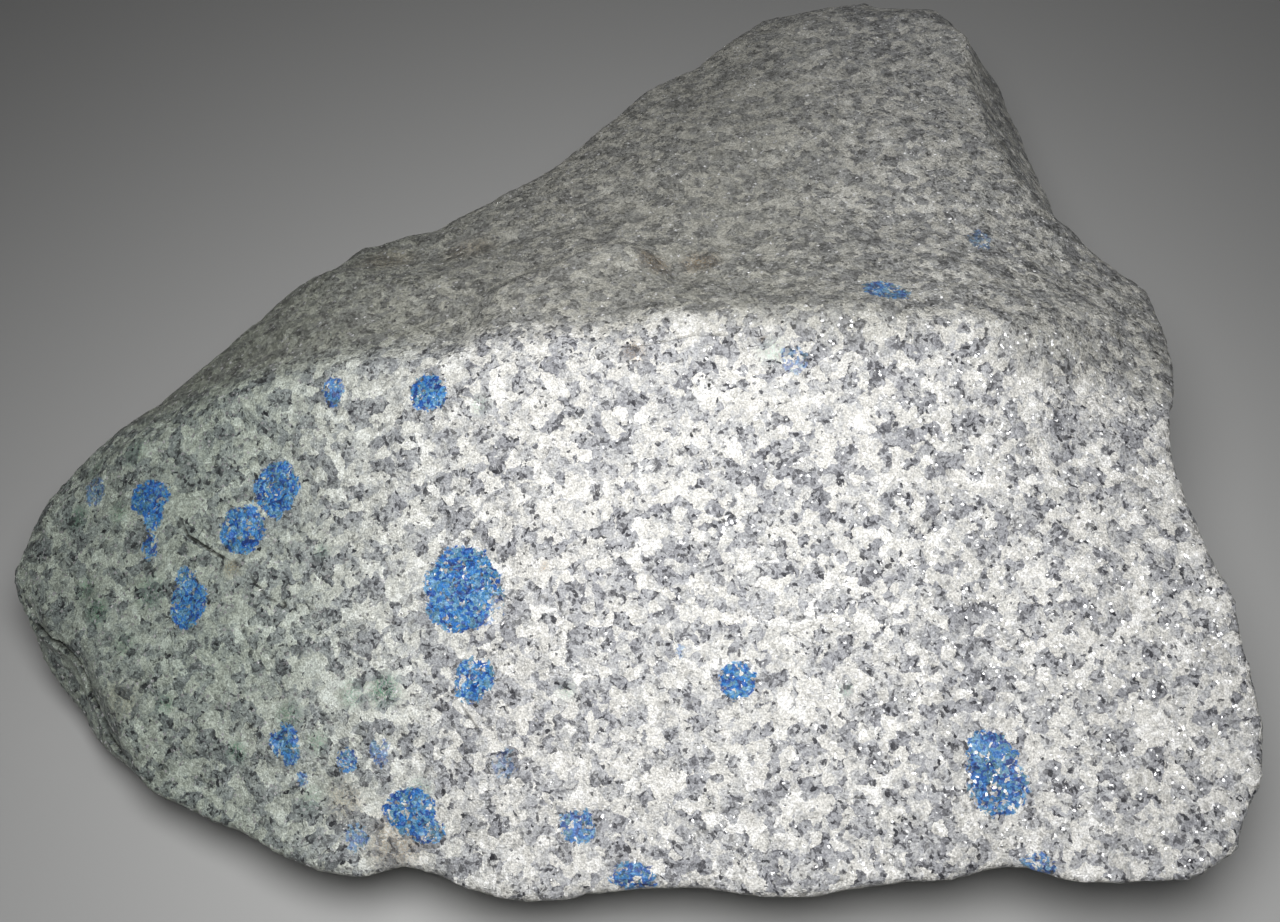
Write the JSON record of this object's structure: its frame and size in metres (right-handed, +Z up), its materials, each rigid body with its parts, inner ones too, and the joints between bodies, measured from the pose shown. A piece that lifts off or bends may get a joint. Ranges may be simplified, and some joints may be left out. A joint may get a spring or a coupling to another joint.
{
  "type": "azurite in granite",
  "caption": "Loose block of pale granite with rounded blue azurite stains: a sloping broken face, a crest, a blunt tongue at the back and a flat spot to rest on.",
  "frame": {"origin": "under the middle of the stone's box, on the plane that it rests on", "axes": "+X along the stone's longest side, to the right as seen from its broad sloping face; +Y from that face towards the tongue at the back; +Z up"},
  "size_m": [0.1494, 0.1394, 0.0501],
  "materials": {
    "granite": "rough broken surface, fine black and white grain, blue azurite spots"
  },
  "bodies": {
    "root": {"granite_block": "granite"}
  },
  "joints": []
}
